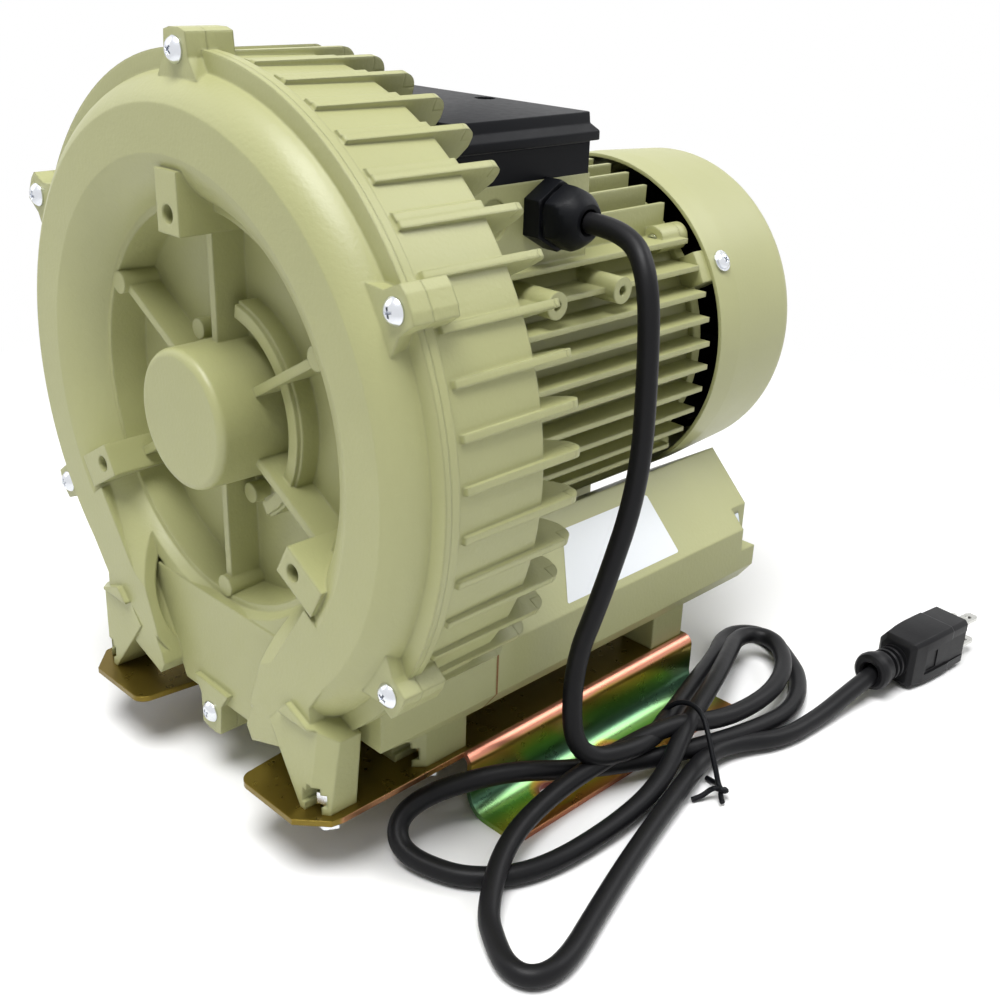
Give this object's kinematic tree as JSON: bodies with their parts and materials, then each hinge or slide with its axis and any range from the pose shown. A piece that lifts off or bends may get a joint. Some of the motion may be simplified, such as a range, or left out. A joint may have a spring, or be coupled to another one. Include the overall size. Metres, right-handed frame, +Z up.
{
  "type": "side-channel blower",
  "caption": "Single-phase ring blower with a finned side-channel casing, box motor, twin mufflers, steel rails and a corded plug",
  "frame": {"origin": "on the floor under the middle of the blower: midway across the two rails and midway between the cover hub's front face and the fan cowl's rear face", "axes": "+X to the side of the cord gland, +Y along the shaft from the cover to the fan cowl, +Z up"},
  "size_m": [0.3025, 0.3565, 0.297],
  "materials": {
    "casting_paint": "satin sage paint over an aluminium die casting",
    "cowl_paint": "smooth satin paint over pressed steel",
    "zinc_plating": "bright zinc plate",
    "core_steel": "laminated core",
    "winding_copper": "varnished copper wire",
    "black_plastic": "fine satin moulding",
    "seal_rubber": "matte",
    "machined_steel": "ground",
    "cast_aluminium": "as cast",
    "bearing_steel": "polished",
    "clear_seal": "translucent white",
    "foam": "open-cell foam",
    "passivated_steel": "yellow iridescent zinc passivation",
    "cord_rubber": "satin black sheath",
    "plug_brass": "polished"
  },
  "bodies": {
    "blower": {"front_cover": "casting_paint", "blower_casing": "casting_paint", "cover_screws": "zinc_plating", "motor_frame": "casting_paint", "stator_core": "core_steel", "stator_windings": "winding_copper", "rear_end_shield": "casting_paint", "motor_tie_bolts": "zinc_plating", "fan_cowl": "cowl_paint", "fan_cowl_screws": "zinc_plating", "terminal_box": "black_plastic", "terminal_box_gasket": "seal_rubber", "terminal_box_lid": "black_plastic", "lid_screws": "zinc_plating", "terminal_block": "black_plastic", "run_capacitor": "black_plastic", "front_bearing_outer_ring": "bearing_steel", "rear_bearing_outer_ring": "bearing_steel", "shaft_seal": "seal_rubber", "bearing_wave_spring": "machined_steel", "gland_body": "black_plastic", "gland_locknut": "black_plastic", "gland_seal": "seal_rubber", "gland_cap_nut": "black_plastic", "right_muffler": "casting_paint", "left_muffler": "casting_paint", "port_seal_rings": "clear_seal", "muffler_foam_liners": "foam", "muffler_gaskets": "seal_rubber", "right_rail": "passivated_steel", "left_rail": "passivated_steel", "base_bolts": "zinc_plating", "base_washers": "zinc_plating", "base_nuts": "zinc_plating", "cord_lead": "cord_rubber", "cord_tail": "cord_rubber", "cord_hank": "cord_rubber", "cord_tie": "black_plastic", "plug_body": "cord_rubber", "plug_pins": "plug_brass"},
    "rotor": {"motor_shaft": "machined_steel", "impeller_key": "machined_steel", "impeller": "cast_aluminium", "impeller_washer": "zinc_plating", "impeller_nut": "zinc_plating", "rotor_core": "core_steel", "cooling_fan": "black_plastic", "fan_circlip": "machined_steel", "front_bearing_inner_ring": "bearing_steel", "rear_bearing_inner_ring": "bearing_steel"},
    "front_ball_set": {"front_bearing_balls": "bearing_steel", "front_bearing_cage": "bearing_steel"},
    "rear_ball_set": {"rear_bearing_balls": "bearing_steel", "rear_bearing_cage": "bearing_steel"}
  },
  "joints": [
    {"name": "rotor_spin", "type": "hinge", "parent": "blower", "child": "rotor", "pos_m": [0, 0, 0.162], "axis": [0, 1, 0], "continuous": true},
    {"name": "front_balls_spin", "type": "hinge", "parent": "blower", "child": "front_ball_set", "pos_m": [0, 0, 0.162], "axis": [0, 1, 0], "continuous": true},
    {"name": "rear_balls_spin", "type": "hinge", "parent": "blower", "child": "rear_ball_set", "pos_m": [0, 0, 0.162], "axis": [0, 1, 0], "continuous": true}
  ],
  "couplings": [
    {"joint": "front_balls_spin", "follows": "rotor_spin", "ratio": 0.385},
    {"joint": "rear_balls_spin", "follows": "rotor_spin", "ratio": 0.385}
  ]
}
